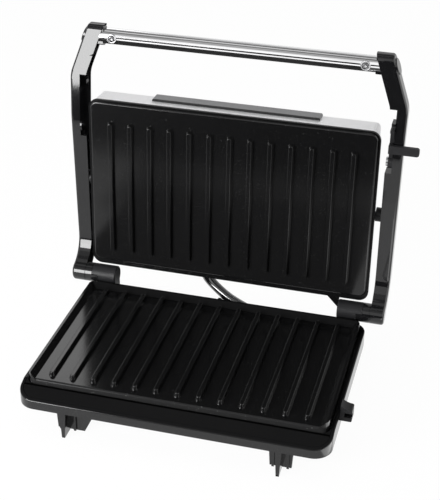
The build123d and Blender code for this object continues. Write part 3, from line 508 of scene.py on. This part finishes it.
class PRESS_OT_plates(bpy.types.Operator):
    """Sprayed non-stick coat on both cooking plates"""

    bl_idname = "press.plates"
    bl_label = "Coat the plates"

    def execute(self, context):
        finishes, _, _ = settings()
        rough = finishes.coat_rough
        coat = Finish("nonstick_coat", finishes.coat)
        coat.grain(1500.0, rough - 0.03, rough + 0.05, 0.000006)
        specks = coat.put(shared("specks", speck_group), Scale=420.0, Size=0.16)["Mask"]
        # Painted sheen and glints on the lower plate's front wall: more specks and a pale tint there.
        wall = coat.front("lower_plate", finishes.wall_band)
        level = coat.math("ADD", coat.math("MULTIPLY", wall, finishes.wall_specks_and_glints), finishes.speck)
        painted_sheen = coat.math("MULTIPLY", wall, finishes.wall_painted_sheen)
        specks_and_sheen = coat.math("ADD", coat.math("MULTIPLY", specks, level), painted_sheen)
        coat.tint(specks_and_sheen, finishes.coat, finishes.speck_and_sheen_tone)
        lip_half = 0.5 * finishes.lip_band
        lip = coat.band(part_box("lower_plate")[1].y - lip_half, lip_half)
        coat.gloss(coat.math("ADD", wall, lip), finishes.coat_gloss, finishes.wall_gloss)
        coat.give("lower_plate", "upper_plate")
        return {"FINISHED"}


class PRESS_OT_plastics(bpy.types.Operator):
    """Polished arms, matte barrels, glossy housing and satin apron"""

    bl_idname = "press.plastics"
    bl_label = "Finish the plastics"

    def execute(self, context):
        finishes, _, _ = settings()
        arm = Finish("polished_arm", finishes.arm)
        arm.grain(700.0, finishes.arm_rough - 0.02, finishes.arm_rough + 0.03, 0.000002)
        arm.give("arm_left", "arm_right", "handle_plug_left", "handle_plug_right")

        barrel = Finish("matte_barrel", finishes.barrel)
        barrel.grain(1400.0, 0.34, 0.46, 0.00002)
        barrel.set("Specular IOR Level", finishes.barrel_gloss)
        barrel.give("hinge_bracket_left", "hinge_bracket_right", "lock_lever", "lock_catch")
        barrel.give("pivot_bush_left", "pivot_bush_right")

        shell = Finish("glossy_housing", finishes.shell)
        shell.grain(800.0, 0.09, 0.16, 0.000004)
        shell.gloss(shell.facing_up(finishes.rim_facing), finishes.shell_gloss, finishes.rim_gloss)
        shell.give("base_housing", "foot_front_left", "foot_front_right", "foot_rear_left", "foot_rear_right")

        apron = Finish("satin_apron", finishes.apron)
        apron.grain(1600.0, 0.18, 0.28, 0.00001)
        # Painted shade of the gap between apron and plate: a black, unreflecting band on the apron.
        seam = apron.band(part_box("lower_plate")[0].y - finishes.gap_shade_offset, finishes.gap_shade_half)
        apron.gloss(seam, finishes.apron_gloss, finishes.gap_shade_gloss)
        apron.tint(seam, finishes.apron, finishes.seam)
        apron.give("base_frame", "lid_frame", "lid_lug", "cord_gland", "link_gland_base", "link_gland_lid")

        trim = Finish("satin_trim", finishes.trim)
        trim.grain(1300.0, 0.3, 0.44, 0.00002)
        # Painted shade along the trim's front edge, in the apron's black.
        trim.tint(trim.front("lid_trim", finishes.trim_edge_shade), finishes.trim, finishes.apron)
        trim.give("lid_trim")

        terminal = Finish("terminal_plastic", finishes.terminal)
        terminal.grain(900.0, 0.4, 0.6, 0.00001)
        terminal.give("terminal_block")
        return {"FINISHED"}


class PRESS_OT_metals(bpy.types.Operator):
    """Drawn cover, chrome handle, bright steel pins and inner metal"""

    bl_idname = "press.metals"
    bl_label = "Finish the metals"

    def execute(self, context):
        finishes, _, _ = settings()
        cover = Finish("satin_cover", finishes.cover, metallic=0.45)
        cover.bump(cover.drawn(900.0, 0.22, 0.22), 0.000008)
        cover.give("lid_cover")

        chrome = Finish("chrome_tube", finishes.chrome, metallic=1.0)
        above = chrome.math("SUBTRACT", chrome.drawn(620.0, 0.02, 0.05), 0.42)
        streak = chrome.math("MULTIPLY", above, 9.0, clamp=True)
        shade = [finishes.chrome_shade * channel for channel in finishes.chrome]
        chrome.tint(streak, shade, finishes.chrome)
        chrome.give("handle_tube")

        steel = Finish("bright_steel", finishes.steel, metallic=1.0)
        steel.grain(1200.0, 0.15, 0.3, 0.00001)
        steel.give("hinge_pin_left", "hinge_pin_right", "lid_pin_left", "lid_pin_right")
        steel.give("lever_pivot", "base_screws")

        element = Finish("heater_sheath", finishes.heater, metallic=1.0)
        element.grain(900.0, 0.3, 0.5, 0.00001)
        element.give("lower_heater", "upper_heater")

        foil = Finish("reflector_sheet", finishes.foil, metallic=1.0)
        foil.grain(600.0, 0.18, 0.34, 0.00002)
        foil.give("lower_reflector", "upper_reflector", "thermostat")
        return {"FINISHED"}


class PRESS_OT_lamps(bpy.types.Operator):
    """Clear red and green lenses in the trim"""

    bl_idname = "press.lamps"
    bl_label = "Finish the lamps"

    def execute(self, context):
        finishes, _, _ = settings()
        for name, base in (("lamp_red", finishes.red_lens), ("lamp_green", finishes.green_lens)):
            lens = Finish(name + "_lens", base)
            lens.grain(500.0, 0.05, 0.12, 0.000003)
            lens.set("Coat Weight", 0.6)
            lens.give(name)
        return {"FINISHED"}


# Pieces made here


class PRESS_OT_screws(bpy.types.Operator):
    """Pan head screws with washers that hold the handle tube"""

    bl_idname = "press.screws"
    bl_label = "Make the handle screws"

    def execute(self, context):
        finishes, sizes, _ = settings()
        low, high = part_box("handle_screws")
        middle = 0.5 * (low.z + high.z)
        head, washer = sizes.screw_radius, sizes.washer_radius
        groove_end = head + sizes.washer_gap
        steel = Finish("screw_steel", finishes.steel, metallic=1.0)
        steel.grain(1500.0, 0.3, 0.42, 0.000005)
        # Painted shade on the screws: the groove and the outer part of the head are darkened.
        groove_shade = steel.ring(high.x - head, middle, 0.4 * head, groove_end)
        steel.tint(groove_shade, finishes.steel, finishes.groove_shade)
        # Radius and height, from the washer's underside to the middle of the head
        profile = (
            (washer, -0.9 * MM),
            (washer, 0.2 * MM),
            (washer - 0.3 * MM, 0.45 * MM),
            (groove_end, 0.45 * MM),
            (head + 0.1 * MM, 0.15 * MM),
            (head, 0.15 * MM),
            (head, 0.8 * MM),
            (0.86 * head, 1.15 * MM),
            (0.62 * head, 1.28 * MM),
            (0.52 * head, 1.28 * MM),
            (0.44 * head, 0.6 * MM),
            (0.0, 0.5 * MM),
        )
        builder = bmesh.new()
        for side in (low.x + head, high.x - head):
            self.turn(builder, Vector((side, low.y + sizes.screw_stand, middle)), profile, 0.5 * head)
        for face in builder.faces:
            face.smooth = True
        builder.normal_update()
        piece = mesh_object("handle_screw_heads", builder, steel.material)
        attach(piece, "arms")
        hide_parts("handle_screws")
        return {"FINISHED"}

    def turn(self, builder, centre, profile, recess):
        """Turn a profile of radius and height about a line along Y, with a lobed recess in the middle."""
        verts = [builder.verts.new(centre + Vector((radius, -rise, 0.0))) for radius, rise in profile]
        edges = [builder.edges.new(pair) for pair in zip(verts, verts[1:])]
        before = set(builder.verts) - set(verts)
        bmesh.ops.spin(
            builder,
            geom=verts + edges,
            cent=centre,
            axis=(0.0, 1.0, 0.0),
            angle=math.tau,
            steps=TURN_STEPS,
            use_merge=True,
        )
        made = [vert for vert in builder.verts if vert not in before]
        bmesh.ops.remove_doubles(builder, verts=made, dist=JOIN_DISTANCE)
        for vert in builder.verts:
            arm = vert.co - centre
            reach = math.hypot(arm.x, arm.z)
            if vert not in before and 0.1 * MM < reach < 1.1 * recess:
                lobe = 1.0 + LOBE_DEPTH * math.cos(LOBES * math.atan2(arm.z, arm.x))
                vert.co.x = centre.x + arm.x * lobe
                vert.co.z = centre.z + arm.z * lobe
        bmesh.ops.recalc_face_normals(builder, faces=builder.faces[:])


class PRESS_OT_lead(bpy.types.Operator):
    """Sleeved lead between the base and the lid"""

    bl_idname = "press.lead"
    bl_label = "Make the lead"

    def execute(self, context):
        finishes, sizes, _ = settings()
        sleeve = Finish("lead_sleeve", finishes.sleeve)
        sleeve.grain(700.0, 0.04, 0.08, 0.000004)
        sleeve.set("Specular IOR Level", 1.0)
        sleeve.set("Coat Weight", 1.0)
        route = [Vector(place) for place in reversed(LEAD_ROUTE)]
        curve = bpy.data.curves.new("lead_line", "CURVE")
        curve.dimensions = "3D"
        curve.resolution_u = LEAD_STEPS
        spline = curve.splines.new("NURBS")
        spline.points.add(len(route) - 1)
        for point, place in zip(spline.points, route):
            point.co = (*place, 1.0)
        spline.order_u = 3
        spline.use_endpoint_u = True
        line = bpy.data.objects.new("lead_line", curve)
        centres = [vert.co.copy() for vert in bpy.data.meshes.new_from_object(line).vertices]
        curve.bevel_depth = sizes.lead_radius
        curve.bevel_resolution = sizes.lead_sides
        curve.use_fill_caps = True
        mesh = bpy.data.meshes.new_from_object(line)
        mesh.name = "link_lead"
        mesh.materials.clear()
        mesh.materials.append(sleeve.material)
        lead = link("link_lead", mesh)
        bpy.data.objects.remove(line)
        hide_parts("link_cable")
        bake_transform(lead)
        return {"FINISHED"}


# Studio


def seen_rays(tree):
    """One for rays from the camera, a polished face or a clear one, and nought for others."""
    rays = tree.nodes.new("ShaderNodeLightPath").outputs
    seen = math_node(tree, "MAXIMUM", rays["Is Camera Ray"], rays["Is Glossy Ray"])
    return math_node(tree, "MAXIMUM", seen, rays["Is Transmission Ray"])


class PRESS_OT_studio(bpy.types.Operator):
    """Pale floor, soft light, reflection cards and the camera"""

    bl_idname = "press.studio"
    bl_label = "Set up the studio"

    def execute(self, context):
        _, _, studio = settings()
        scene = context.scene
        scene.view_settings.view_transform = "Standard"
        self.world(scene, studio.ambient)
        self.floor(studio.floor_glow)
        self.cards()
        self.panel("softbox", *SOFTBOX, studio.softbox_power)
        top = self.panel("top_panel", *TOP_PANEL, studio.top_power)
        top.visible_glossy = False
        self.camera(scene, studio)
        return {"FINISHED"}

    def world(self, scene, ambient):
        """White behind everything seen directly or by reflection, and a soft level of light elsewhere."""
        world = bpy.data.worlds.new("studio_world")
        world.use_nodes = True
        tree = world.node_tree
        rest = math_node(tree, "MULTIPLY", seen_rays(tree), 1.0 - ambient)
        background = tree.nodes["Background"]
        background.inputs["Color"].default_value = WHITE
        tree.links.new(math_node(tree, "ADD", rest, ambient), background.inputs["Strength"])
        scene.world = world

    def floor(self, white):
        """Wide pale floor that still shows the shadow."""
        paper = bpy.data.materials.new("floor_paper")
        paper.use_nodes = True
        tree = paper.node_tree
        shader = tree.nodes["Principled BSDF"]
        shader.inputs["Base Color"].default_value = (FLOOR_TONE, FLOOR_TONE, FLOOR_TONE, 1.0)
        shader.inputs["Roughness"].default_value = 1.0
        shader.inputs["Specular IOR Level"].default_value = 0.0
        glow = tree.nodes.new("ShaderNodeEmission")
        glow.inputs["Color"].default_value = WHITE
        share_of_white = math_node(tree, "MULTIPLY", seen_rays(tree), white)
        self.mix(tree, share_of_white, shader.outputs["BSDF"], glow.outputs["Emission"])
        builder = bmesh.new()
        bmesh.ops.create_grid(builder, x_segments=1, y_segments=1, size=FLOOR_HALF)
        floor = mesh_object("floor", builder, paper)
        floor.visible_glossy = False

    def cards(self):
        """Cards from black to bright round the press, which only polished faces see."""
        for name, place, turn, half, level in CARDS:
            builder = bmesh.new()
            bmesh.ops.create_grid(builder, x_segments=1, y_segments=1, size=1.0)
            bmesh.ops.scale(builder, vec=(*half, 1.0), verts=builder.verts)
            bmesh.ops.transform(builder, matrix=Matrix.Translation(place) @ turn, verts=builder.verts)
            card = mesh_object(name, builder, self.card_paper(name, level))
            card.visible_camera = False
            card.visible_diffuse = False
            card.visible_shadow = False
            card.visible_transmission = False

    def card_paper(self, name, level):
        """Even grey of the given level, clear from behind on a one-sided card."""
        paper = bpy.data.materials.new(name + "_paper")
        paper.use_nodes = True
        tree = paper.node_tree
        tree.nodes.remove(tree.nodes["Principled BSDF"])
        glow = tree.nodes.new("ShaderNodeEmission")
        glow.inputs["Strength"].default_value = level
        clear = tree.nodes.new("ShaderNodeBsdfTransparent")
        face = tree.nodes.new("ShaderNodeNewGeometry")
        one_sided = float(name in ONE_SIDED_CARDS)
        hidden = math_node(tree, "MULTIPLY", face.outputs["Backfacing"], one_sided)
        self.mix(tree, hidden, glow.outputs["Emission"], clear.outputs["BSDF"])
        return paper

    def mix(self, tree, mask, first, second):
        """Lead a mix of two shaders into the material's output."""
        mix = tree.nodes.new("ShaderNodeMixShader")
        tree.links.new(mask, mix.inputs["Fac"])
        tree.links.new(first, mix.inputs[1])
        tree.links.new(second, mix.inputs[2])
        tree.links.new(mix.outputs["Shader"], tree.nodes["Material Output"].inputs["Surface"])

    def panel(self, name, place, aim, width, height, watts):
        """Rectangular lamp turned to a point."""
        lamp = bpy.data.lights.new(name, "AREA")
        lamp.shape = "RECTANGLE"
        lamp.size = width
        lamp.size_y = height
        lamp.energy = watts
        panel = link(name, lamp)
        panel.location = place
        panel.rotation_euler = (Vector(aim) - Vector(place)).to_track_quat("-Z", "Y").to_euler()
        panel.visible_camera = False
        return panel

    def camera(self, scene, studio):
        """Camera at the measured place, with the long side of the image on the sensor's width."""
        az, el, roll = studio.azimuth, studio.elevation, studio.roll
        back = Vector((math.sin(az) * math.cos(el), -math.cos(az) * math.cos(el), math.sin(el)))
        right = Vector((math.cos(az), math.sin(az), 0.0))
        up = back.cross(right)
        turned_right = right * math.cos(roll) + up * math.sin(roll)
        turned_up = up * math.cos(roll) - right * math.sin(roll)
        data = bpy.data.cameras.new("photo_camera")
        data.lens = studio.lens
        data.sensor_width = SENSOR_WIDTH
        data.sensor_fit = "AUTO"
        data.clip_start = CLIP_START
        camera = link("photo_camera", data)
        axes = Matrix((turned_right, turned_up, back)).transposed().to_4x4()
        camera.matrix_world = Matrix.Translation(studio.camera_place) @ axes
        scene.camera = camera


class PRESS_PT_sidebar(bpy.types.Panel):
    """Steps that dress the press"""

    bl_idname = "PRESS_PT_sidebar"
    bl_label = "Panini Press"
    bl_space_type = "VIEW_3D"
    bl_region_type = "UI"
    bl_category = "Panini Press"

    def draw(self, context):
        for step in STEPS:
            self.layout.operator(step.bl_idname)


STEPS = (
    PRESS_OT_plates,
    PRESS_OT_plastics,
    PRESS_OT_metals,
    PRESS_OT_lamps,
    PRESS_OT_screws,
    PRESS_OT_lead,
    PRESS_OT_studio,
)
CLASSES = (PressFinishes, PressSizes, PressStudio, *STEPS, PRESS_PT_sidebar)


def register():
    """Make the classes and their properties known."""
    for item in CLASSES:
        bpy.utils.register_class(item)
    bpy.types.Scene.press_finishes = PointerProperty(type=PressFinishes)
    bpy.types.Scene.press_sizes = PointerProperty(type=PressSizes)
    bpy.types.Scene.press_studio = PointerProperty(type=PressStudio)


def unregister():
    """Take the classes and their properties away."""
    del bpy.types.Scene.press_studio
    del bpy.types.Scene.press_sizes
    del bpy.types.Scene.press_finishes
    for item in reversed(CLASSES):
        bpy.utils.unregister_class(item)


def main():
    """Dress the press."""
    register()
    bpy.ops.press.plates()
    bpy.ops.press.plastics()
    bpy.ops.press.metals()
    bpy.ops.press.lamps()
    bpy.ops.press.screws()
    bpy.ops.press.lead()
    bpy.ops.press.studio()


if __name__ == "__main__":
    main()
